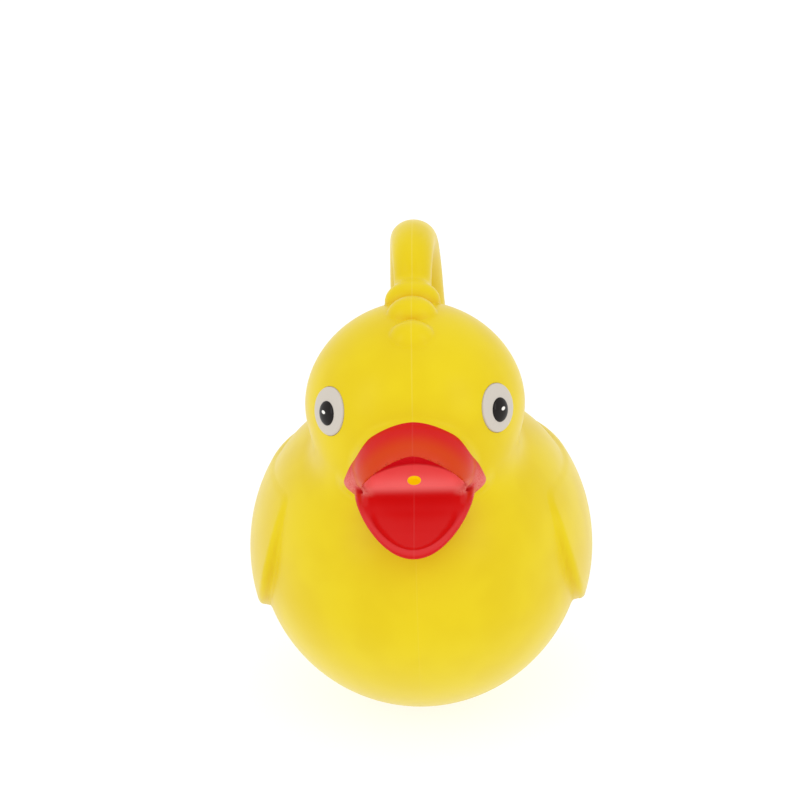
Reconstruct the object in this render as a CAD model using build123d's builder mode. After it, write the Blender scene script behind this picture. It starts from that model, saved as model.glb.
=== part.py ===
from build123d import *
import os

# Child's duck-shaped watering can: one hollow blow moulding with a red-sprayed beak and set-in eyes.
# Millimetres. +Z up, the duck faces -Y, X = 0 is the moulding's parting plane. The shape is laid out
# about the middle of the body, and the finished pieces are then moved so that the origin is under
# the middle of the whole can, on the surface that it stands on.
# The moulding is one piece. It is written as regions that meet face to face: body_shell, head_shell,
# handle and beak.

# Driving dimensions
WALL = 1.8  # thickness of the blown wall
BODY_AT = (0, 0, 72)
BODY_RADII = (80, 99, 76.6)
NECK_AT = (0, -38, 116)
NECK_RADII = (40, 40, 46)
HEAD_AT = (0, -34, 158.5)
HEAD_RADII = (52.4, 50.5, 48.4)

# Beak: a ball-shaped upper bill with a pocket under its lip, and a scoop-shaped lower bill
UPPER_BILL_AT = (0, -72, 130)
UPPER_BILL_RADII = (33.8, 36, 36)
UPPER_BILL_BOTTOM = 127
LIP_SPRING = 133  # height at which the arch of the lip starts
LIP_HALF_WIDTH = 25.5
LIP_RISE = 21.5
POCKET_BACK = -71
SHELF_EDGE = (-89, 136)  # y, z of the front edge of the pocket's floor
SHELF_SLOPE = 18
LOWER_BILL_AT = (0, -90, 131)
LOWER_BILL_RADII = (26.5, 37, 14)
LOWER_BILL_SLOPE = 22
SCOOP_RIM = 3.5
SCOOP_DEPTH = 2.5
POUR_HOLE_AT = (0, -84.5, 137.5)
POUR_HOLE_RADIUS = 3.3
FORWARD = -150  # y that lies in front of everything

# Crest: three tufts along the crown: y, z and half-width of each
CREST_TUFTS = ((-57, 196, 11.2), (-42, 203, 12.0), (-25.5, 206, 13.2))
TUFT_HALF_LENGTH = 9
TUFT_HALF_HEIGHT = 10

# Handle sections: y, z, lean from level, half-width and half-thickness
HANDLE_SECTIONS = (
    (-13, 192, 0, 9.2, 9.5),
    (-12, 212, -8, 9.0, 9.5),
    (-2, 223, -50, 9.9, 9.5),
    (16, 225.5, -90, 10.8, 9.5),
    (36, 218, -121, 12.0, 9.5),
    (54, 201, -142, 13.0, 9.5),
    (68, 178, -154, 14.0, 10),
    (78, 150, -164, 16.0, 11),
    (84, 122, -172, 20.0, 13),
    (86, 98, -180, 22.0, 14),
)

# Wings: a raised lobe on each flank, whose rear end rises and stands out from the body
WING_AT = (0, 7, 72)
WING_RADII = (85.5, 116, 81)
WING_THICKNESS = 16
WING_MIDDLE = (20, 86)
WING_OUTLINE = (
    (-51, 94),
    (-48, 77),
    (-36, 60),
    (-12, 48),
    (20, 44.5),
    (50, 56),
    (74, 78),
    (86, 102),
    (80, 114),
    (58, 116),
    (30, 116),
    (0, 115.5),
    (-32, 115.5),
    (-46, 108),
)

TAIL_AT = (0, 80, 95)
TAIL_RADII = (30, 50, 16)
TAIL_SLOPE = 38

# Filler mouth on the back, under the handle
FILLER_AT = (0, 39, 148)
FILLER_SLOPE = -11
FILLER_RADIUS = 20
COLLAR_RADIUS = 24
COLLAR_LENGTH = 25

# Eyes: a white disc that follows the head, set in a shallow seat, with a pupil on it
EYE_AT = (38.9, -66.9, 165.6)
EYE_RADIUS = 12
EYE_SEAT = 0.6
EYE_PROUD = 0.8
PUPIL_AT = (39.3, -67.1, 164.4)
PUPIL_RADIUS = 6.1
PUPIL_PROUD = 2.0
EYE_REACH = 15  # length of the cutters along the eye's axis, to each side of the head's surface

# Where the moulding is divided into its regions
HEAD_REGION = ((-150, 80), (150, 208), (150, 260), (-150, 260))
SEAM_MARGIN = 0.3
HANDLE_REGION = (
    (-60, 217),
    (0, 217),
    (0, 202),
    (30, 202),
    (30, 156),
    (140, 156),
    (140, 260),
    (-60, 260),
)


def ellipsoid(centre, radii, grow=0.0, lean=0.0):
    """Ellipsoid with half-axes radii + grow, leaned by this many degrees about X."""
    rx, ry, rz = (radius + grow for radius in radii)
    with BuildPart() as ball:
        Sphere(radius=rx)
        scale(by=(1, ry / rx, rz / rx))
    return Pos(*centre) * Rot(X=lean) * ball.part


def leaned_plane(origin, lean):
    """Level plane leaned about X, so that its front edge goes down."""
    return Plane(origin=origin).rotated((lean, 0, 0))


def side_prism(points, half_width):
    """Outline in the YZ plane, extruded to both sides of the parting plane."""
    with BuildPart() as prism:
        with BuildSketch(Plane.YZ):
            with BuildLine():
                Polyline(*points, close=True)
            make_face()
        extrude(amount=half_width, both=True)
    return prism.part


def handle_form(grow):
    """Loop from the crown to the back, lofted through its elliptical sections."""
    with BuildPart() as loop:
        for y, z, lean, half_width, half_thickness in HANDLE_SECTIONS:
            with BuildSketch(leaned_plane((0, y, z), lean)):
                Ellipse(half_width + grow, half_thickness + grow)
        loft()
    return loop.part


def wing_form(grow):
    """Both wings: a thick curved plate round the flanks, trimmed to the wing's outline."""
    outer = ellipsoid(WING_AT, WING_RADII, grow)
    inner = ellipsoid(WING_AT, WING_RADII, -WING_THICKNESS - grow)
    middle = Vector(*WING_MIDDLE)
    spokes = [Vector(*point) - middle for point in WING_OUTLINE]
    rim = [middle + spoke + spoke.normalized() * grow for spoke in spokes]
    with BuildPart() as outline:
        with BuildSketch(Plane.YZ):
            with BuildLine():
                Spline(*[(point.X, point.Y) for point in rim], periodic=True)
            make_face()
        extrude(amount=WING_RADII[0] + 10, both=True)
    with BuildPart() as wings:
        add(outer)
        add(outline.part, mode=Mode.INTERSECT)
        add(inner, mode=Mode.SUBTRACT)
    return wings.part


def upper_bill_form(grow):
    """Ball of the upper bill, without what lies in front of the shelf and below the lip."""
    ball = ellipsoid(UPPER_BILL_AT, UPPER_BILL_RADII, grow)
    with BuildPart() as bill:
        add(ball)
        split(bisect_by=Plane.XY.offset(UPPER_BILL_BOTTOM - grow), keep=Keep.TOP)
        with BuildSketch(Plane.XY):
            with Locations((0, (FORWARD + SHELF_EDGE[0] - grow) / 2)):
                Rectangle(4 * LIP_HALF_WIDTH, SHELF_EDGE[0] - grow - FORWARD)
        extrude(amount=LIP_SPRING - grow, mode=Mode.SUBTRACT)
    return bill.part


def lower_bill_form(grow):
    """Scoop: the lower half of a leaned ellipsoid, with its top dished inside a rim."""
    ball = ellipsoid(LOWER_BILL_AT, LOWER_BILL_RADII, grow, LOWER_BILL_SLOPE)
    rim = leaned_plane(LOWER_BILL_AT, LOWER_BILL_SLOPE)
    half_width = LOWER_BILL_RADII[0] - SCOOP_RIM - grow
    half_length = LOWER_BILL_RADII[1] - SCOOP_RIM - grow
    with BuildPart() as bill:
        add(ball)
        split(bisect_by=rim.offset(grow), keep=Keep.BOTTOM)
        with BuildSketch(rim.offset(1)):
            Ellipse(half_width, half_length)
        extrude(amount=-SCOOP_DEPTH - 1 + grow, mode=Mode.SUBTRACT)
    return bill.part


def pocket_cutter(grow):
    """Room under the upper lip: an arch that runs back over the sloping shelf."""
    back = POCKET_BACK - grow
    shelf = leaned_plane((0, *SHELF_EDGE), SHELF_SLOPE).offset(grow)
    with BuildPart() as pocket:
        with BuildSketch(Plane.XZ.offset(-back)):
            with Locations((0, LIP_SPRING)):
                Ellipse(LIP_HALF_WIDTH - grow, LIP_RISE - grow)
        extrude(amount=back - FORWARD)
        split(bisect_by=shelf, keep=Keep.TOP)
    return pocket.part


def duck_form(grow):
    """The whole can as a filled shape: its outside when grow is 0, its inside when -WALL."""
    solids = [
        ellipsoid(BODY_AT, BODY_RADII, grow),
        ellipsoid(NECK_AT, NECK_RADII, grow),
        ellipsoid(HEAD_AT, HEAD_RADII, grow),
        upper_bill_form(grow),
        lower_bill_form(grow),
        wing_form(grow),
        ellipsoid(TAIL_AT, TAIL_RADII, grow, TAIL_SLOPE),
        handle_form(grow),
    ]
    for y, z, half_width in CREST_TUFTS:
        solids.append(ellipsoid((0, y, z), (half_width, TUFT_HALF_LENGTH, TUFT_HALF_HEIGHT), grow))
    pocket = pocket_cutter(grow)
    with BuildPart() as form:
        for solid in solids:
            add(solid)
        with BuildSketch(leaned_plane(FILLER_AT, FILLER_SLOPE).offset(grow)):
            Circle(COLLAR_RADIUS + grow)
        extrude(amount=-COLLAR_LENGTH)
        add(pocket, mode=Mode.SUBTRACT)
        split(bisect_by=Plane.XY.offset(-grow), keep=Keep.TOP)
    return form.part


def outward_plane(point):
    """Plane that touches the head at this point, with +Z pointing away from the head."""
    normal = [(p - c) / radius**2 for p, c, radius in zip(point, HEAD_AT, HEAD_RADII)]
    return Plane(origin=point, z_dir=normal)


def eye_cylinder(point, radius):
    """Cylinder through the head's surface along the eye's axis."""
    with BuildPart() as cylinder:
        with BuildSketch(outward_plane(point)):
            Circle(radius)
        extrude(amount=EYE_REACH, both=True)
    return cylinder.part


def eye_plate(point, radius, inside, outside):
    """Round plate that follows the head between these two offsets from its surface."""
    cylinder = eye_cylinder(point, radius)
    outer = ellipsoid(HEAD_AT, HEAD_RADII, outside)
    inner = ellipsoid(HEAD_AT, HEAD_RADII, inside)
    with BuildPart() as plate:
        add(cylinder)
        add(outer, mode=Mode.INTERSECT)
        add(inner, mode=Mode.SUBTRACT)
    return plate.part


def moulding_form():
    """The blown wall, with its filler mouth, its pour hole and the seats of the eyes."""
    outside = duck_form(0)
    inside = duck_form(-WALL)
    seat = eye_plate(EYE_AT, EYE_RADIUS, -EYE_SEAT, EYE_REACH)
    hole_plane = leaned_plane(POUR_HOLE_AT, SHELF_SLOPE)
    with BuildPart() as moulding:
        add(outside)
        add(inside, mode=Mode.SUBTRACT)
        add(seat, mode=Mode.SUBTRACT)
        add(mirror(seat, about=Plane.YZ), mode=Mode.SUBTRACT)
        with BuildSketch(leaned_plane(FILLER_AT, FILLER_SLOPE)):
            Circle(FILLER_RADIUS)
        extrude(amount=COLLAR_LENGTH, both=True, mode=Mode.SUBTRACT)
        with BuildSketch(hole_plane):
            Circle(POUR_HOLE_RADIUS)
        extrude(amount=2 * WALL, both=True, mode=Mode.SUBTRACT)
    return moulding.part


def bill_region():
    """Everything that belongs to the beak: both bills, a little larger than they are."""
    upper = ellipsoid(UPPER_BILL_AT, UPPER_BILL_RADII, SEAM_MARGIN)
    lower = ellipsoid(LOWER_BILL_AT, LOWER_BILL_RADII, SEAM_MARGIN, LOWER_BILL_SLOPE)
    with BuildPart() as region:
        add(upper)
        split(bisect_by=Plane.XY.offset(UPPER_BILL_BOTTOM - WALL), keep=Keep.TOP)
        add(lower)
    return region.part


moulding = moulding_form()
bill_zone = bill_region()
handle_zone = side_prism(HANDLE_REGION, BODY_RADII[0])
head_zone = side_prism(HEAD_REGION, BODY_RADII[0])

with BuildPart() as beak:
    add(moulding)
    add(bill_zone, mode=Mode.INTERSECT)

with BuildPart() as handle:
    add(moulding)
    add(handle_zone, mode=Mode.INTERSECT)

with BuildPart() as head_shell:
    add(moulding)
    add(bill_zone, mode=Mode.SUBTRACT)
    add(handle_zone, mode=Mode.SUBTRACT)
    add(head_zone, mode=Mode.INTERSECT)

with BuildPart() as body_shell:
    add(moulding)
    add(bill_zone, mode=Mode.SUBTRACT)
    add(handle_zone, mode=Mode.SUBTRACT)
    add(head_zone, mode=Mode.SUBTRACT)

pieces = {
    "body_shell": body_shell.part,
    "head_shell": head_shell.part,
    "handle": handle.part,
    "beak": beak.part,
}
eye_white = eye_plate(EYE_AT, EYE_RADIUS, -EYE_SEAT, EYE_PROUD)
pupil = eye_plate(PUPIL_AT, PUPIL_RADIUS, EYE_PROUD, PUPIL_PROUD)
# The duck faces -Y, so its own left side is at +X.
for side, turn in (("left", False), ("right", True)):
    for name, plate in (("eye_white", eye_white), ("pupil", pupil)):
        pieces[f"{name}_{side}"] = mirror(plate, about=Plane.YZ) if turn else plate

box = Compound(children=[Pos() * piece for piece in pieces.values()]).bounding_box()
to_middle = Pos(0, -(box.min.Y + box.max.Y) / 2, 0)
os.makedirs("parts", exist_ok=True)
for name, piece in pieces.items():
    placed = to_middle * piece
    placed.label = name
    export_step(placed, f"parts/{name}.step")
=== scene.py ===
# Duck-shaped watering can: a blown yellow moulding with a red-sprayed beak and set-in eyes.
# The shape is written once as a distance field in millimetres, in the same design frame as the CAD
# (middle of the body at X = Y = 0, +Z up, the duck faces -Y), and meshed from it.
from math import cos, pi, radians, sin

import bpy
import numpy as np
from mathutils import Matrix, Vector


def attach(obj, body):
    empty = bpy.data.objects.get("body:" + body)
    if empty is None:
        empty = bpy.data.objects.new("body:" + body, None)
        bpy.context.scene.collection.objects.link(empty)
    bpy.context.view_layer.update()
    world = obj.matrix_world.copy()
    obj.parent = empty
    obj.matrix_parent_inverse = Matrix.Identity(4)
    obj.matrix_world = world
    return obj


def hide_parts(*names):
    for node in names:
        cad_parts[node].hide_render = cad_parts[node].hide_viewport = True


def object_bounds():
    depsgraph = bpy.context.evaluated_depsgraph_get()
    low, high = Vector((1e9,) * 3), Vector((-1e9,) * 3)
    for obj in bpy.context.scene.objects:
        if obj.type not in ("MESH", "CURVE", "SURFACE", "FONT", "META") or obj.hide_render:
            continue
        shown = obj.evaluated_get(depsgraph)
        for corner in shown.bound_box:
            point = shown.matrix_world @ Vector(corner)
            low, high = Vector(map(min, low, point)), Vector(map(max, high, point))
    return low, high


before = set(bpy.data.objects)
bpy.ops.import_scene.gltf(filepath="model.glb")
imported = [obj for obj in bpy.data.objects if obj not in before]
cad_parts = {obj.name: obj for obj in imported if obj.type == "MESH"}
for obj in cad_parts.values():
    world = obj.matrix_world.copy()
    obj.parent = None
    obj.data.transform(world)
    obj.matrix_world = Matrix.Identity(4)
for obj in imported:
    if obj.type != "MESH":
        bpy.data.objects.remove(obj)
cad_low, cad_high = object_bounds()
MM = 0.001

# ---------------------------------------------------------------- dimensions, mm
WALL = 1.8
BODY = ((0, 0, 72), (80, 98, 76.2), 2.5, 1.95)
WING = ((0, 7, 72), (85.5, 116, 81), 2.05, 2.0)
HEAD = ((0, -34, 158.5), (52.4, 50.5, 48.4), 1.93, 2.0)
CHEEKS = ((0, -46, 134), (43, 36, 30))
TAIL = ((0, 80, 95), (30, 50, 16), 38)
TUFTS = (
    ((0, -57, 196), (11.2, 9, 9.5)),
    ((0, -42, 203), (12, 9, 10)),
    ((0, -25.5, 206), (13.2, 8.5, 10)),
)
TUFT_BLEND = 0.8
# handle: y, z, half-width, half-thickness along its middle line
HANDLE = (
    (-13, 192, 9.2, 9.5),
    (-12, 212, 9.0, 9.5),
    (-2, 223, 9.9, 9.5),
    (16, 225.5, 10.8, 9.5),
    (36, 218, 12.0, 9.5),
    (54, 201, 13.0, 9.5),
    (68, 178, 14.0, 10),
    (78, 150, 16.0, 11),
    (84, 122, 20.0, 13),
    (86, 98, 22.0, 14),
)
CANOPY = ((0, -73, 140.5), (29, 34.5, 26))  # the upper bill
FOLD = ((0, -67, 133), (35, 22, 14))  # cheek folds behind the corners of the mouth
LIP_FOOT = 133  # height at which the arch of the lip starts
LIP_ARCH = (24.5, 21.3, 1.6)  # half-width, rise, power
SHELF_EDGE = (-90, 136.2)
SHELF_SLOPE = 17
ROLL_SLOPE = 41  # in front of its edge the shelf rolls over into the lower bill
POCKET_BACK = 71  # the back wall of the mouth stands this far in front of the middle
POCKET_BOW = 0.0208  # and is this bowed in plan
BILL_ROOT = 80  # the lower bill droops from here on, this far in front of the middle
BILL_RIM = 132.6
BILL_DROOP = 0.0088
BILL_RADII = (28.2, 44.3, 14)
PAINT_FOOT = 131  # height at which the arch of the red paint starts
PAINT_ARCH = (34.8, 34.4, 1.8)
POUR_HOLE = (0, -85.5, 137.55)
POUR_RADIUS = 3.15
FILLER = (0, 39, 148)
FILLER_SLOPE = -11
FILLER_RADIUS = 20
FILLER_REACH = 25  # half the length of the cut for the filler mouth
COLLAR_RADIUS = 24
EYE = (39.8, -65.9, 165.2)
EYE_RADIUS = 11.6
EYE_SQUEEZE = 0.92  # width of the eyes over their height
EYE_SEAT = 0.6
EYE_PROUD = 0.8
PUPIL = (39.8, -65.9, 164.3)
PUPIL_RADIUS = 5.8
PUPIL_PROUD = 2.0
GLINT_OFFSET = (2.0, 0, 0.8)  # white dot on the outer side of each pupil
GLINT_RADIUS = 0.8


# ---------------------------------------------------------------- distance field, mm
def turned(y, z, at, lean):
    c, s = cos(radians(lean)), sin(radians(lean))
    return (y - at[0]) * c + (z - at[1]) * s, (z - at[1]) * c - (y - at[0]) * s


def ellipsoid(x, y, z, centre, radii, lean=0.0):
    u = x - centre[0]
    v, w = turned(y, z, centre[1:], lean)
    a, b, c = radii
    k0 = np.sqrt((u / a) ** 2 + (v / b) ** 2 + (w / c) ** 2) + 1e-6
    k1 = np.sqrt((u / a**2) ** 2 + (v / b**2) ** 2 + (w / c**2) ** 2) + 1e-6 / min(radii)
    return k0 * (k0 - 1) / k1


def egg(x, y, z, centre, radii, above, below):
    """Elliptical in plan. Its upright section is a superellipse, with its own power above and below."""
    u, v, w = x - centre[0], y - centre[1], z - centre[2]
    a, b, c = radii
    r = np.sqrt((u / a) ** 2 + (v / b) ** 2) + 1e-6
    h = np.abs(w) / c + 1e-6
    n = np.where(w > 0, above, below)
    q = (r**n + h**n) ** (1 / n)
    flank = (r / q) ** (n - 1) / r
    steep = (h / q) ** (n - 1) / c
    slope = np.sqrt((flank * u / a**2) ** 2 + (flank * v / b**2) ** 2 + steep**2) + 1e-9
    return (q - 1) / slope


def join(a, b, k):
    near = np.maximum(k - np.abs(a - b), 0) / k
    return np.minimum(a, b) - near * near * k / 4


def meet(a, b, k):
    return -join(-a, -b, k)


def ellipse(u, v, a, b):
    k0 = np.sqrt((u / a) ** 2 + (v / b) ** 2) + 1e-6
    k1 = np.sqrt((u / a**2) ** 2 + (v / b**2) ** 2) + 1e-6 / np.minimum(a, b)
    return k0 * (k0 - 1) / k1


def arch(u, v, a, b, n):
    p, q = np.abs(u) / a + 1e-6, np.abs(v) / b + 1e-6
    s = (p**n + q**n) ** (1 / n)
    return (s - 1) / np.sqrt(((p / s) ** (n - 1) / a) ** 2 + ((q / s) ** (n - 1) / b) ** 2)


def wings(x, y, z):
    back = np.maximum(y - 10, 0)
    rise = z - 0.0035 * back**2 - 92.5
    plan = np.where(y < 10, ellipse(y - 10, rise, 61, 48.5), ellipse((y - 10) * 61 / 80, rise, 61, 48.5))
    plan = meet(plan, z - 115.5 - 0.0003 * np.maximum(y, 0) ** 2, 5)
    lobe = meet(egg(x, y, z, *WING), 38 - x, 5)
    return meet(lobe, plan, 2.5)


def smooth_line(points, steps):
    """Catmull-Rom line through the points."""
    p = np.vstack([2 * points[0] - points[1], points, 2 * points[-1] - points[-2]])
    t = np.arange(steps)[:, None] / steps
    line = []
    for a, b, c, d in zip(p, p[1:], p[2:], p[3:]):
        square = (2 * a - 5 * b + 4 * c - d) * t**2
        cube = (3 * b - a - 3 * c + d) * t**3
        line.append(0.5 * (2 * b + (c - a) * t + square + cube))
    return np.vstack(line + [p[-2:-1]])


HANDLE_LINE = smooth_line(np.array(HANDLE, float), 12)


def handle(x, y, z):
    best = np.full(np.broadcast(y, z).shape, 1e6)
    wide, thick = np.ones_like(best), np.ones_like(best)
    for p, q in zip(HANDLE_LINE, HANDLE_LINE[1:]):
        step = q[:2] - p[:2]
        t = np.clip(((y - p[0]) * step[0] + (z - p[1]) * step[1]) / (step**2).sum(), 0, 1)
        gap = (y - p[0] - t * step[0]) ** 2 + (z - p[1] - t * step[1]) ** 2
        near = gap < best
        best = np.where(near, gap, best)
        wide = np.where(near, p[2] + t * (q[2] - p[2]), wide)
        thick = np.where(near, p[3] + t * (q[3] - p[3]), thick)
    return ellipse(x, np.sqrt(best), wide, thick)


def crest(x, y, z):
    first, second, third = (ellipsoid(x, y, z, at, radii) for at, radii in TUFTS)
    return join(join(first, second, TUFT_BLEND), third, TUFT_BLEND)


def upper_bill(x, y, z):
    canopy = meet(ellipsoid(x, y, z, *CANOPY), LIP_FOOT - z, 4)
    fold = meet(ellipsoid(x, y, z, *FOLD), SHELF_EDGE[0] - y, 1.5)
    return join(canopy, fold, 2.5)


def shelf(y, z):
    """Floor of the mouth, which rolls over at its front edge into the lower bill."""
    flat = turned(y, z, SHELF_EDGE, SHELF_SLOPE)[1]
    return meet(flat, turned(y, z, SHELF_EDGE, ROLL_SLOPE)[1], 4)


def pocket(x, y, z):
    room = meet(arch(x, z - LIP_FOOT, *LIP_ARCH), -shelf(y, z), 2.5)
    return meet(room, y + POCKET_BACK + POCKET_BOW * x**2, 3)


def ramp_down(x, y, z):
    """What carries the front of the shelf, down to the floor of the lower bill."""
    sides = ellipse(x, y + BILL_ROOT, 24, 40)
    ends = np.maximum(y + 88, 125 - z)
    return meet(meet(shelf(y, z), sides, 2), ends, 3)


def scoop(x, y, z):
    """The lower bill's outside, with how far along it (y, growing backwards) and above its rim a point is."""
    run = y + BILL_ROOT
    lift = z - BILL_RIM + BILL_DROOP * np.minimum(run, 0) ** 2
    return ellipsoid(x, run, lift, (0, 0, 0), BILL_RADII), run, lift


def lower_bill(x, y, z):
    bowl, run, lift = scoop(x, y, z)
    dish = meet(ellipse(x, run, 26.0, 42), -lift - np.clip(-run / 12, 0.3, 2.5), 5)
    return meet(meet(bowl, lift, 2), -dish, 1)


def collar(x, y, z):
    v, w = turned(y, z, FILLER[1:], FILLER_SLOPE)
    return meet(np.sqrt(x**2 + v**2) - COLLAR_RADIUS, np.abs(w + 12) - 12, 1.5)


def duck(x, y, z):
    """Distance to the outside of the can, negative in the plastic and the room inside."""
    x = np.abs(x)
    body = join(egg(x, y, z, *BODY), ellipsoid(x, y, z, *TAIL), 14)
    body = join(body, wings(x, y, z), 1.5)
    head = join(egg(x, y, z, *HEAD), ellipsoid(x, y, z, *CHEEKS), 12)
    head = join(head, crest(x, y, z), TUFT_BLEND)
    form = join(join(body, head, 10), upper_bill(x, y, z), 3)
    form = join(join(form, handle(x, y, z), 6), collar(x, y, z), 4)
    form = meet(form, -pocket(x, y, z), 1.5)
    form = join(form, join(lower_bill(x, y, z), ramp_down(x, y, z), 3), 1.2)
    return meet(form, -z, 3)


def paint_field(x, y, z):
    """Negative where the beak is sprayed red."""
    x = np.abs(x)
    flank = (x - 34.3 + 0.47 * (z - 132)) / 1.1
    mask = meet(arch(x, z - PAINT_FOOT, *PAINT_ARCH), flank, 3)
    corner = (x - 25.3 - 1.5 * (z - 126.2)) / 1.8
    bowl = scoop(x, y, z)[0] - 0.7
    return np.maximum(join(meet(mask, corner, 3), bowl, 1), np.abs(y + 98) - 34)


# ---------------------------------------------------------------- meshing
def stops(*runs):
    """Grid positions: runs of (from, to, step)."""
    parts = [np.linspace(a, b, max(2, round((b - a) / step) + 1))[:-1] for a, b, step in runs]
    return np.concatenate(parts + [[runs[-1][1]]])


def slopes(field, points):
    """Gradient of the field at the points, by differences over 0.05 mm."""
    e = 0.05
    x, y, z = points.T
    g = np.stack([
        field(x + e, y, z) - field(x - e, y, z),
        field(x, y + e, z) - field(x, y - e, z),
        field(x, y, z + e) - field(x, y, z - e),
    ], axis=1)
    return g / (2 * e)


def untangle(field):
    """Fills one corner of every cell face whose inside corners only touch across its diagonal."""
    for _ in range(6):
        found = 0
        for u, v in ((0, 1), (0, 2), (1, 2)):
            views = []
            for du, dv in ((0, 0), (1, 0), (1, 1), (0, 1)):
                part = [slice(None)] * 3
                part[u] = slice(du, field.shape[u] - 1 + du)
                part[v] = slice(dv, field.shape[v] - 1 + dv)
                views.append(field[tuple(part)])
            a, b, c, d = (view < 0 for view in views)
            crossed = (a == c) & (b == d) & (a != b)
            views[1][crossed & a] = -0.01
            views[0][crossed & b] = -0.01
            found += crossed.sum()
        if not found:
            break
    return field


def surface(form, xs, ys, zs, level=0.0):
    """Surface net of the form at a level, with its vertices moved onto the surface."""
    half = form(xs[:, None, None], ys[None, :, None], zs[None, None, :]) - level
    half = untangle(half)
    field = np.concatenate([half[:0:-1], half])
    axes = [np.concatenate([-xs[:0:-1], xs]), ys, zs]
    inside = field < 0
    shape = np.array(field.shape) - 1
    total = np.zeros(tuple(shape) + (3,))
    count = np.zeros(tuple(shape))
    quads = []
    for k in range(3):
        a = np.take(field, range(field.shape[k] - 1), axis=k)
        b = np.take(field, range(1, field.shape[k]), axis=k)
        i, j, l = np.nonzero((a < 0) != (b < 0))
        keep = np.ones(len(i), bool)
        for m, n in enumerate((i, j, l)):
            if m != k:
                keep &= (n > 0) & (n < shape[m])
        i, j, l = i[keep], j[keep], l[keep]
        t = a[i, j, l] / (a[i, j, l] - b[i, j, l])
        at = [i, j, l]
        point = np.stack([axes[m][at[m]] for m in range(3)], axis=1)
        point[:, k] += t * (axes[k][at[k] + 1] - axes[k][at[k]])
        u, v = [m for m in range(3) if m != k]
        corners = []
        for du, dv in ((0, 0), (1, 0), (1, 1), (0, 1)):
            cell = [n.copy() for n in at]
            cell[u] -= du
            cell[v] -= dv
            index = np.ravel_multi_index(cell, tuple(shape))
            np.add.at(total.reshape(-1, 3), index, point)
            np.add.at(count.reshape(-1), index, 1)
            corners.append(index)
        quad = np.stack(corners, axis=1)
        flip = (a[i, j, l] < 0) == (k == 1)
        quad[flip] = quad[flip][:, ::-1]
        quads.append(quad)
    quads = np.concatenate(quads)
    used, faces = np.unique(quads, return_inverse=True)
    faces = faces.reshape(quads.shape)
    points = total.reshape(-1, 3)[used] / count.reshape(-1)[used][:, None]
    for _ in range(3):
        g = slopes(form, points)
        d = form(*points.T) - level
        move = g * (d / np.maximum((g**2).sum(1), 0.2))[:, None]
        reach = np.maximum(np.sqrt((move**2).sum(1, keepdims=True)), 1e-9)
        points -= move * np.minimum(1, 0.8 / reach)
    return points, faces


# ---------------------------------------------------------------- solids and cuts
def as_object(name, points, faces):
    mesh = bpy.data.meshes.new(name)
    mesh.from_pydata((points * MM).tolist(), [], [list(face) for face in faces])
    mesh.validate()
    thing = bpy.data.objects.new(name, mesh)
    bpy.context.scene.collection.objects.link(thing)
    return thing


def boolean(thing, cutter, operation):
    step = thing.modifiers.new("cut", "BOOLEAN")
    step.solver = "MANIFOLD"
    step.operation = operation
    step.object = cutter
    bpy.context.view_layer.objects.active = thing
    bpy.ops.object.modifier_apply(modifier=step.name)


def remove(thing):
    bpy.data.objects.remove(thing)


def cylinder(centre, lean, radius, reach, segments=96):
    """Closed cylinder along the axis leaned about X, in mm."""
    turn = np.arange(segments) * 2 * pi / segments
    c, s = cos(radians(lean)), sin(radians(lean))
    rings = []
    for w in (-reach, reach):
        u, v = radius * np.cos(turn), radius * np.sin(turn)
        rings.append(np.stack([centre[0] + u, centre[1] + v * c - w * s, centre[2] + v * s + w * c], axis=1))
    n = segments
    sides = [(i, (i + 1) % n, n + (i + 1) % n, n + i) for i in range(n)]
    ends = [tuple(range(n - 1, -1, -1)), tuple(range(n, 2 * n))]
    return as_object("cutter", np.concatenate(rings), sides + ends)


def head_frame(point):
    """Axes on the head at a point: to the side, up, and outward."""
    p = np.array(point, float)
    outward = slopes(lambda x, y, z: egg(x, y, z, *HEAD), p[None])[0]
    outward /= np.linalg.norm(outward)
    side = np.cross([0, 0, 1], outward)
    side /= np.linalg.norm(side)
    return p, side, np.cross(outward, side), outward


def head_disc(name, point, profile, segments=96):
    """Closed disc on the head. Profile: rings of (radius, height above the head's surface)."""
    p, side, up, outward = head_frame(point)
    turn = np.arange(segments) * 2 * pi / segments
    rings = []
    for radius, level in profile:
        radius = max(radius, 0.02)
        ring = p + radius * (EYE_SQUEEZE * np.cos(turn)[:, None] * side + np.sin(turn)[:, None] * up)
        for _ in range(6):
            gap = egg(*ring.T, *HEAD) - level
            ring = ring - gap[:, None] * outward
        rings.append(ring)
    n = segments
    faces = []
    for k in range(0, (len(rings) - 1) * n, n):
        faces += [(k + i, k + (i + 1) % n, k + n + (i + 1) % n, k + n + i) for i in range(n)]
    last = (len(rings) - 1) * n
    faces += [tuple(range(n - 1, -1, -1)), tuple(range(last, last + n))]
    return as_object(name, np.concatenate(rings), faces)


def mirrored(thing, name):
    copy = bpy.data.objects.new(name, thing.data.copy())
    bpy.context.scene.collection.objects.link(copy)
    copy.data.transform(Matrix.Scale(-1, 4, (1, 0, 0)))
    copy.data.flip_normals()
    return copy


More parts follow.
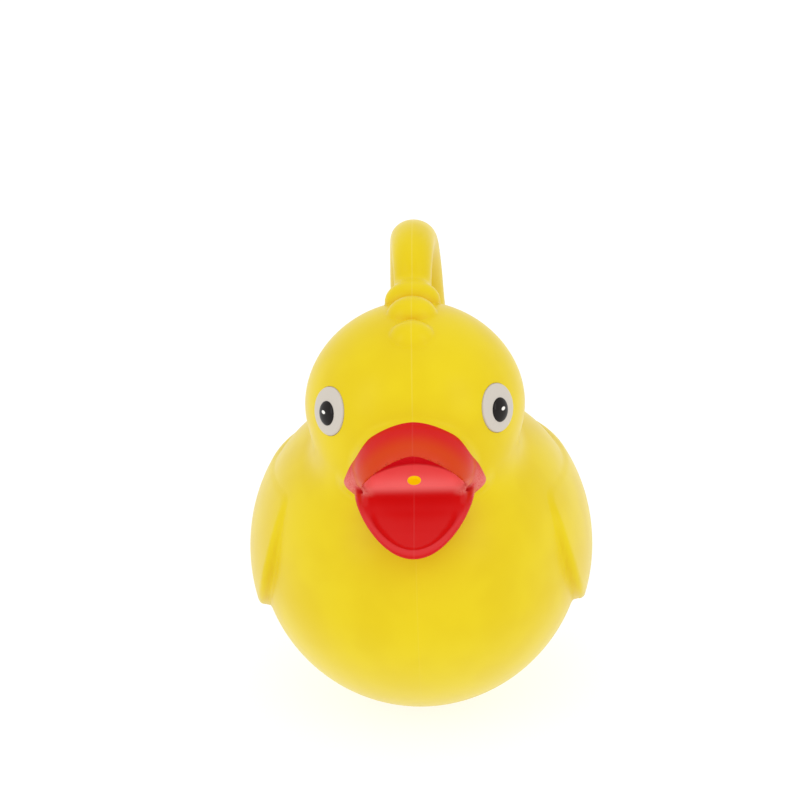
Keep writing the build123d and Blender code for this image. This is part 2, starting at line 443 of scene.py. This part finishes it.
# ---------------------------------------------------------------- the moulding, split at the paint
coarse = 1.0
outer, outer_faces = surface(
    duck,
    stops((0, 30, 1.0 * coarse), (30, 42, 1.4 * coarse), (42, 90, 2.0 * coarse)),
    stops((-130, -64, 1.0 * coarse), (-64, -14, 1.6 * coarse), (-14, 124, 2.4 * coarse)),
    stops((-3, 40, 3.0), (40, 112, 2.2 * coarse), (112, 170, 1.1 * coarse), (170, 240, 1.4 * coarse)),
)
inner, inner_faces = surface(duck, stops((0, 90, 3)), stops((-130, 124, 3)), stops((-3, 240, 3)), -WALL)
shift = (cad_low.y + cad_high.y) / 2 / MM - (outer[:, 1].min() + outer[:, 1].max()) / 2
points = np.concatenate([outer, inner])
moulding = as_object("moulding", points, np.concatenate([outer_faces, inner_faces[:, ::-1] + len(outer)]))

cutter = cylinder(FILLER, FILLER_SLOPE, FILLER_RADIUS, FILLER_REACH)
boolean(moulding, cutter, "DIFFERENCE")
remove(cutter)
cutter = cylinder(POUR_HOLE, SHELF_SLOPE, POUR_RADIUS, 2 * WALL, 48)
boolean(moulding, cutter, "DIFFERENCE")
remove(cutter)

seat_rings = [(r, -EYE_SEAT) for r in (0, 4, 8, EYE_RADIUS + 0.1)] + [(EYE_RADIUS + 0.1, 6), (0, 6)]
seat = head_disc("seat", EYE, seat_rings)
other = mirrored(seat, "seat_other")
for cutter in (seat, other):
    boolean(moulding, cutter, "DIFFERENCE")
    remove(cutter)

paint, paint_faces = surface(paint_field, stops((0, 40, 1)), stops((-136, -60, 2)), stops((95, 172, 1)))
mask = as_object("mask", paint, paint_faces)
beak = bpy.data.objects.new("beak_red", moulding.data.copy())
bpy.context.scene.collection.objects.link(beak)
boolean(beak, mask, "INTERSECT")
boolean(moulding, mask, "DIFFERENCE")
remove(mask)

# ---------------------------------------------------------------- the eyes
R = EYE_RADIUS - 0.1
white_rings = [(r, -EYE_SEAT) for r in (0, 4, 8, R)]
white_rings += [(R, -0.1), (R, 0.35), (R - 0.12, 0.6), (R - 0.4, 0.76), (R - 0.8, EYE_PROUD)]
white_rings += [(r, EYE_PROUD) for r in (9.5, 7, 4, 0)]
eye_left = head_disc("eye_white_left_look", EYE, white_rings)
bulge = PUPIL_PROUD - EYE_PROUD
dome = [(PUPIL_RADIUS * sin(a), EYE_PROUD + bulge * cos(a)) for a in np.linspace(pi / 2, 0, 14)]
pupil_rings = [(0, EYE_PROUD - 0.3), (3, EYE_PROUD - 0.3), (PUPIL_RADIUS, EYE_PROUD - 0.3)] + dome
pupil_left = head_disc("pupil_left_look", PUPIL, pupil_rings, 72)
eye_right = mirrored(eye_left, "eye_white_right_look")
pupil_right = mirrored(pupil_left, "pupil_right_look")


# ---------------------------------------------------------------- normals and the inside, with its painted glow
def shade_by_form(thing):
    """Smooth shading with the exact normals of the form, and flat cut edges."""
    mesh = thing.data
    mesh.shade_smooth()
    co = np.zeros(len(mesh.vertices) * 3)
    mesh.vertices.foreach_get("co", co)
    co = co.reshape(-1, 3) / MM
    g = slopes(duck, co)
    g /= np.maximum(np.linalg.norm(g, axis=1, keepdims=True), 1e-6)
    normal = np.zeros(len(mesh.polygons) * 3)
    mesh.polygons.foreach_get("normal", normal)
    normal = normal.reshape(-1, 3)
    corner = np.zeros(len(mesh.loops), int)
    mesh.loops.foreach_get("vertex_index", corner)
    count = np.zeros(len(mesh.polygons), int)
    mesh.polygons.foreach_get("loop_total", count)
    face = np.repeat(np.arange(len(mesh.polygons)), count)
    along = (g[corner] * normal[face]).sum(1)
    turned_to = np.where(along[:, None] > 0, g[corner], -g[corner])
    custom = np.where(np.abs(along)[:, None] > 0.7, turned_to, normal[face])
    mesh.normals_split_custom_set(custom.tolist())


def mark_inside(thing):
    """Second material inside the wall and the pour hole, with a painted glow for the light that comes through
    the plastic.
    """
    mesh = thing.data
    centre = np.zeros(len(mesh.polygons) * 3)
    mesh.polygons.foreach_get("center", centre)
    centre = centre.reshape(-1, 3) / MM
    level = duck(*centre.T)
    near_hole = np.linalg.norm(centre - POUR_HOLE, axis=1) < POUR_RADIUS + WALL
    lit = (level < -WALL * 0.75) | (near_hole & (level < -0.6))
    mesh.polygons.foreach_set("material_index", lit.astype(np.int32))


for thing in (moulding, beak):
    shade_by_form(thing)
for thing in (eye_left, eye_right, pupil_left, pupil_right):
    thing.data.shade_smooth()
    thing.data.set_sharp_from_angle(angle=radians(50))


# ---------------------------------------------------------------- materials
def linear(code):
    """Linear colour of a sRGB hex code."""
    values = [int(code[i:i + 2], 16) / 255 for i in (0, 2, 4)]
    return tuple(v / 12.92 if v < 0.04045 else ((v + 0.055) / 1.055) ** 2.4 for v in values) + (1.0,)


class Shader:
    """A Principled material whose maps are worked out from the position on the object, in mm."""

    def __init__(self, name, colour, roughness, **constants):
        self.material = bpy.data.materials.new(name)
        self.material.use_nodes = True
        self.tree = self.material.node_tree
        self.skin = self.tree.nodes["Principled BSDF"]
        self.set("Base Color", linear(colour))
        self.set("Roughness", roughness)
        for socket, value in constants.items():
            self.set(socket.replace("_", " "), value)
        place = self.tree.nodes.new("ShaderNodeTexCoord").outputs["Object"]
        self.place = self.vector("SCALE", self.vector("SUBTRACT", place, (0, shift * MM, 0)), scale=1 / MM)
        split = self.tree.nodes.new("ShaderNodeSeparateXYZ")
        self.tree.links.new(self.place, split.inputs[0])
        self.x, self.y, self.z = split.outputs
        self.side = self.math("ABSOLUTE", self.x)

    def set(self, socket, value):
        self.skin.inputs[socket].default_value = value

    def feed(self, socket, value):
        if hasattr(value, "is_output"):
            self.tree.links.new(value, socket)
        else:
            socket.default_value = value

    def vector(self, operation, a, b=None, scale=None):
        node = self.tree.nodes.new("ShaderNodeVectorMath")
        node.operation = operation
        self.feed(node.inputs[0], a)
        if b is not None:
            self.feed(node.inputs[1], b)
        if scale is not None:
            node.inputs["Scale"].default_value = scale
        return node.outputs[0]

    def math(self, operation, a, b=0.0, c=0.0):
        node = self.tree.nodes.new("ShaderNodeMath")
        node.operation = operation
        for socket, value in zip(node.inputs, (a, b, c)):
            self.feed(socket, value)
        return node.outputs[0]

    def times(self, *values):
        total = values[0]
        for value in values[1:]:
            total = self.math("MULTIPLY", total, value)
        return total

    def ramp(self, value, low, high):
        """0 at low, 1 at high, smooth between; high may be the smaller."""
        node = self.tree.nodes.new("ShaderNodeMapRange")
        node.interpolation_type = "SMOOTHSTEP"
        self.feed(node.inputs["Value"], value)
        lo, hi, a, b = (low, high, 0.0, 1.0) if low < high else (high, low, 1.0, 0.0)
        for socket, number in (("From Min", lo), ("From Max", hi), ("To Min", a), ("To Max", b)):
            node.inputs[socket].default_value = number
        return node.outputs["Result"]

    def egg(self, centre, radii):
        """1 on the ellipsoid, less inside it."""
        total = 0.0
        for axis, at, radius in zip((self.x, self.y, self.z), centre, radii):
            part = self.math("DIVIDE", self.math("SUBTRACT", axis, float(at)), float(radius))
            total = self.math("MULTIPLY_ADD", part, part, total)
        return self.math("SQRT", total)

    def seen_distance(self, centre):
        """Distance in mm, from the front, to this point or its mirror image."""
        across = self.math("SUBTRACT", self.side, float(centre[0]))
        up = self.math("SUBTRACT", self.z, float(centre[2]))
        return self.math("SQRT", self.math("MULTIPLY_ADD", across, across, self.times(up, up)))

    def crease_shade(self, reach):
        """1 in the open, less where the surface within this reach in mm closes in: the mask for painted
        shade.
        """
        node = self.tree.nodes.new("ShaderNodeAmbientOcclusion")
        node.samples = 6
        node.only_local = True
        node.inputs["Distance"].default_value = reach * MM
        return self.ramp(node.outputs["AO"], 0.35, 0.95)

    def noise(self, size, detail=2.0):
        """Noise with features of this size in mm."""
        node = self.tree.nodes.new("ShaderNodeTexNoise")
        node.inputs["Scale"].default_value = 1 / size
        node.inputs["Detail"].default_value = detail
        self.tree.links.new(self.place, node.inputs["Vector"])
        return node.outputs[0]

    def mix(self, share, a, b):
        node = self.tree.nodes.new("ShaderNodeMix")
        node.data_type = "RGBA"
        self.feed(node.inputs[0], share)
        self.feed(node.inputs[6], a)
        self.feed(node.inputs[7], b)
        return node.outputs[2]

    def link(self, socket, value):
        self.tree.links.new(value, self.skin.inputs[socket])

    def relief(self, *layers):
        """Bump from (height field of 0 to 1, depth in mm) layers."""
        normal = None
        for height, depth in layers:
            node = self.tree.nodes.new("ShaderNodeBump")
            node.inputs["Distance"].default_value = depth * MM
            node.inputs["Strength"].default_value = 1.0
            self.tree.links.new(height, node.inputs["Height"])
            if normal is not None:
                self.tree.links.new(normal, node.inputs["Normal"])
            normal = node.outputs[0]
        self.link("Normal", normal)


def seam_line(shader):
    """1 on the parting line of the mould, which runs round the can at X = 0."""
    return shader.ramp(shader.side, 0.5, 0.1)


def yellow_shell():
    """Blown plastic: cloudy, with painted shade deeper in the creases, painted bounce light making it paler
    low on the belly, and a faint parting line with a painted highlight.
    """
    sheen = {"Sheen_Weight": 0.12, "Sheen_Roughness": 0.3}
    skin = Shader("yellow_shell", "E0C606", 0.34, Specular_IOR_Level=0.2, **sheen)
    tone = skin.mix(skin.ramp(skin.noise(30), 0.35, 0.65), linear("DFC403"), linear("E3CA0A"))
    # painted shade: deeper, darker yellow where the surface closes in
    tone = skin.mix(skin.crease_shade(12), linear("E0AE00"), tone)
    # painted bounce light from the floor: paler towards the bottom of the body
    tone = skin.mix(skin.times(skin.ramp(skin.z, 75, 15), 0.5), tone, linear("EAD63C"))
    seam = seam_line(skin)
    # painted highlight: a paler line along the ridge of the parting line, stronger high up on the crest
    high = skin.ramp(skin.z, 150, 195)
    seam_highlight_share = skin.times(seam, skin.math("MULTIPLY_ADD", high, 0.08, 0.03))
    skin.link("Base Color", skin.mix(seam_highlight_share, tone, linear("F2E890")))
    skin.relief((seam, 0.03), (skin.noise(1.2), 0.012))
    return skin


def yellow_inside_glow():
    """The inside of the wall: its emission is a painted glow for the light that comes through the plastic."""
    skin = Shader("yellow_inside_glow", "E8CC08", 0.5, Specular_IOR_Level=0.1)
    skin.set("Emission Color", linear("F2DC08"))
    skin.set("Emission Strength", 0.28)
    skin.relief((skin.noise(2.0), 0.03))
    return skin


def beak_red():
    """Sprayed paint: thin and orange on the front of the canopy. Painted reflection makes it pink on the
    shelf, at the corners and on the rim of the lower bill, painted shade darkens the back wall of the mouth,
    a painted glow lights all of it a little, and a painted highlight runs along the parting line.
    """
    skin = Shader("beak_red", "C8141A", 0.24, Specular_IOR_Level=0.12)
    grain = skin.noise(0.7, 3.0)
    canopy = skin.egg(*CANOPY)
    climb = skin.math("SUBTRACT", skin.z, float(PAINT_FOOT))
    band = skin.math("ADD", skin.times(skin.x, skin.x, 1 / 33**2), skin.times(climb, climb, 1 / 34**2))
    front = skin.ramp(canopy, 0.9, 0.97)
    thin_coat = skin.times(front, skin.ramp(band, 0.92, 0.62), skin.ramp(skin.z, 134, 139))

    mouth = skin.ramp(canopy, 0.97, 0.9)
    from_back = skin.math("ADD", skin.y, float(POCKET_BACK))
    depth = skin.math("ADD", from_back, skin.times(skin.x, skin.x, POCKET_BOW))
    # painted shade: the back wall of the mouth darker red, in the shadow of the lip
    back = skin.times(mouth, skin.ramp(depth, -3.5, -1.5))
    # painted reflection and glow: the shelf pink where it faces up, lit in the shade of the canopy
    shelf_painted_light = skin.times(mouth, skin.ramp(skin.y, -94, -88), skin.ramp(depth, -1.5, -4.5))

    # painted reflection: lighter pink on the rounded lip ends and the corners of the mouth, broken up by
    # grain
    lobe = skin.times(skin.ramp(skin.side, 17, 22), skin.ramp(skin.z, 141, 136), skin.ramp(skin.z, 132, 134))
    corner = skin.times(
        skin.ramp(skin.side, 25.5, 29.5), skin.ramp(skin.z, 144, 134), skin.ramp(skin.y, -94, -88)
    )
    pale_reflection = skin.math("MAXIMUM", skin.times(lobe, 0.7), corner)
    run = skin.math("MINIMUM", skin.math("ADD", skin.y, float(BILL_ROOT)), 0.0)
    lift = skin.math("ADD", skin.math("SUBTRACT", skin.z, BILL_RIM), skin.times(run, run, BILL_DROOP))
    # painted reflection: pinker on the rolled rim of the lower bill
    rim = skin.times(skin.ramp(lift, -1.4, -0.1), skin.ramp(skin.y, -96, -108))
    seam = seam_line(skin)

    paint = skin.mix(thin_coat, linear("C8100F"), linear("C93D08"))
    paint = skin.mix(shelf_painted_light, paint, linear("F08A88"))
    paint = skin.mix(back, paint, linear("C81420"))
    paint = skin.mix(skin.times(pale_reflection, skin.ramp(grain, 0.1, 0.6)), paint, linear("D9746C"))
    paint = skin.mix(skin.times(rim, 0.35), paint, linear("D8484C"))
    # painted highlight: paler along the ridge of the parting line
    skin.link("Base Color", skin.mix(skin.times(seam, 0.03), paint, linear("F0B0A8")))
    # painted glow: all the paint emits a little red, more on the shelf and on the back wall, to light its
    # shade
    glow = skin.mix(shelf_painted_light, linear("500408"), linear("C04446"))
    skin.link("Emission Color", skin.mix(back, glow, linear("B01420")))
    skin.set("Emission Strength", 0.35)
    skin.relief((seam, 0.03), (grain, 0.012))
    return skin


def eye_white():
    skin = Shader("eye_white", "C9C1B6", 0.4, Specular_IOR_Level=0.3)
    skin.relief((skin.noise(0.9), 0.008))
    return skin


def pupil_black():
    """Gloss black, with a white dot."""
    skin = Shader("pupil_black", "150F0C", 0.12, Specular_IOR_Level=0.2)
    spot = [axis + offset for axis, offset in zip(PUPIL, GLINT_OFFSET)]
    glint = skin.ramp(skin.seen_distance(spot), GLINT_RADIUS * 1.12, GLINT_RADIUS * 0.88)
    skin.link("Base Color", skin.mix(glint, linear("150F0C"), linear("F4F0EA")))
    skin.relief((skin.noise(4.0), 0.004))
    return skin


yellow, inside, red, white, black = yellow_shell(), yellow_inside_glow(), beak_red(), eye_white(), pupil_black()
looks = (
    (moulding, yellow, "yellow_shell", ("body_shell", "head_shell", "handle")),
    (beak, red, "beak_red", ("beak",)),
    (eye_left, white, "eye_white", ("eye_white_left",)),
    (eye_right, white, "eye_white", ("eye_white_right",)),
    (pupil_left, black, "pupil_black", ("pupil_left",)),
    (pupil_right, black, "pupil_black", ("pupil_right",)),
)
for thing, skin, slot, nodes in looks:
    thing.data.materials.clear()
    thing.data.materials.append(skin.material)
    if thing in (moulding, beak):
        thing.data.materials.append(inside.material)
        mark_inside(thing)
    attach(thing, "root")
    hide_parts(*nodes)

for thing, *_ in looks:
    thing.data.transform(Matrix.Translation((0, shift * MM, 0)))

# ---------------------------------------------------------------- camera and room
VIEW_DISTANCE = 1250  # from the middle of the head, mm
VIEW_TURN, VIEW_RISE, VIEW_ROLL = radians(1.6), radians(18), radians(1.7)
AIM_LEFT, AIM_UP = 7.15, 0.95  # how far beside the middle of the head the lens points, mm


def look_from():
    """The main view: a long lens above the horizon, turned and rolled a little."""
    ahead = Vector((-sin(VIEW_TURN) * cos(VIEW_RISE), cos(VIEW_TURN) * cos(VIEW_RISE), -sin(VIEW_RISE)))
    place = Vector((0, HEAD[0][1] + shift, HEAD[0][2])) - ahead * VIEW_DISTANCE
    right = ahead.cross(Vector((0, 0, 1))).normalized()
    up = right.cross(ahead)
    c, s = cos(VIEW_ROLL), sin(VIEW_ROLL)
    right, up = right * c - up * s, up * c + right * s
    aim = (ahead * VIEW_DISTANCE - right * AIM_LEFT + up * AIM_UP).normalized()
    right = (right - aim * right.dot(aim)).normalized()
    up = right.cross(aim)
    return Matrix.Translation(place * MM) @ Matrix((right, up, -aim)).transposed().to_4x4()


scene = bpy.context.scene
lens = bpy.data.cameras.new("camera")
lens.lens, lens.sensor_width = 118, 36
lens.clip_start, lens.clip_end = 0.1, 20
camera = bpy.data.objects.new("camera", lens)
scene.collection.objects.link(camera)
camera.matrix_world = look_from()
scene.camera = camera
scene.view_settings.view_transform = "Standard"

floor_mesh = bpy.data.meshes.new("floor")
floor_mesh.from_pydata([(-6, -6, 0), (6, -6, 0), (6, 6, 0), (-6, 6, 0)], [], [(0, 1, 2, 3)])
floor = bpy.data.objects.new("floor", floor_mesh)
scene.collection.objects.link(floor)
paper = bpy.data.materials.new("floor")
paper.use_nodes = True
sheet = paper.node_tree.nodes["Principled BSDF"]
sheet.inputs["Base Color"].default_value = (0.3, 0.3, 0.3, 1)
sheet.inputs["Roughness"].default_value = 0.9
sheet.inputs["Specular IOR Level"].default_value = 0.1
sheet.inputs["Emission Color"].default_value = (1, 1, 1, 1)
sheet.inputs["Emission Strength"].default_value = 0.78
floor.data.materials.append(paper)

world = bpy.data.worlds.new("tent")
scene.world = world
world.use_nodes = True
world.node_tree.nodes["Background"].inputs["Color"].default_value = (1, 1, 1, 1)
world.node_tree.nodes["Background"].inputs["Strength"].default_value = 1.0


def softbox(name, place, width, height, power):
    light = bpy.data.lights.new(name, "AREA")
    light.shape, light.size, light.size_y, light.energy = "RECTANGLE", width, height, power
    lamp = bpy.data.objects.new(name, light)
    scene.collection.objects.link(lamp)
    lamp.location = place
    lamp.rotation_euler = (Vector((0, 0, 0.12)) - Vector(place)).to_track_quat("-Z", "Y").to_euler()


softbox("softbox_left", (-1.1, -0.9, 0.75), 0.5, 1.0, 2)
softbox("softbox_right", (1.1, -0.9, 0.75), 0.5, 1.0, 2)
softbox("softbox_top", (0, -0.1, 1.5), 1.2, 1.2, 0.8)

bpy.context.view_layer.update()
